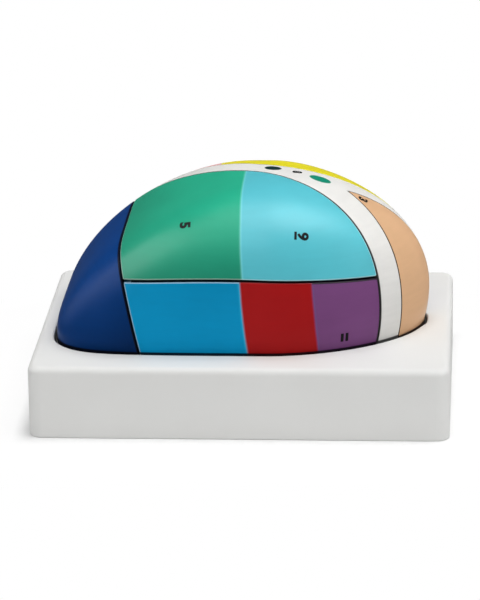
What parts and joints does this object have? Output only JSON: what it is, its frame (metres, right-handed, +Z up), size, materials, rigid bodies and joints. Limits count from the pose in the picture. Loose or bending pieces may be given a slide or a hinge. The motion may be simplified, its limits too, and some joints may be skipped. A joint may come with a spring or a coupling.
{
  "type": "brain anatomy model",
  "caption": "Schematic half-dome brain model of painted lift-out blocks round a white core, standing in the oval pocket of a white tray.",
  "frame": {"origin": "middle of the tray's underside", "axes": "+X runs from the rear of the dome to its front, -Y is the near side and +Z is up"},
  "size_m": [0.19, 0.142, 0.104],
  "materials": {
    "tray": "white moulded plastic with a soft satin skin",
    "core": "warm white satin paint",
    "rear_block": "dark blue satin paint",
    "front_block": "peach satin paint",
    "near_lower_block": "satin paint in fields of blue, red and purple",
    "near_upper_block": "satin paint in fields of green and cyan",
    "far_lower_block": "satin paint in fields of blue, red and purple",
    "far_upper_block": "yellow satin paint with a pink field behind",
    "near_dowels": "plain turned beech",
    "far_dowels": "plain turned beech"
  },
  "bodies": {
    "root": {"tray": "tray", "core": "core", "rear_block": "rear_block", "front_block": "front_block", "near_lower_block": "near_lower_block", "near_upper_block": "near_upper_block", "far_lower_block": "far_lower_block", "far_upper_block": "far_upper_block", "near_dowels": "near_dowels", "far_dowels": "far_dowels"}
  },
  "joints": []
}
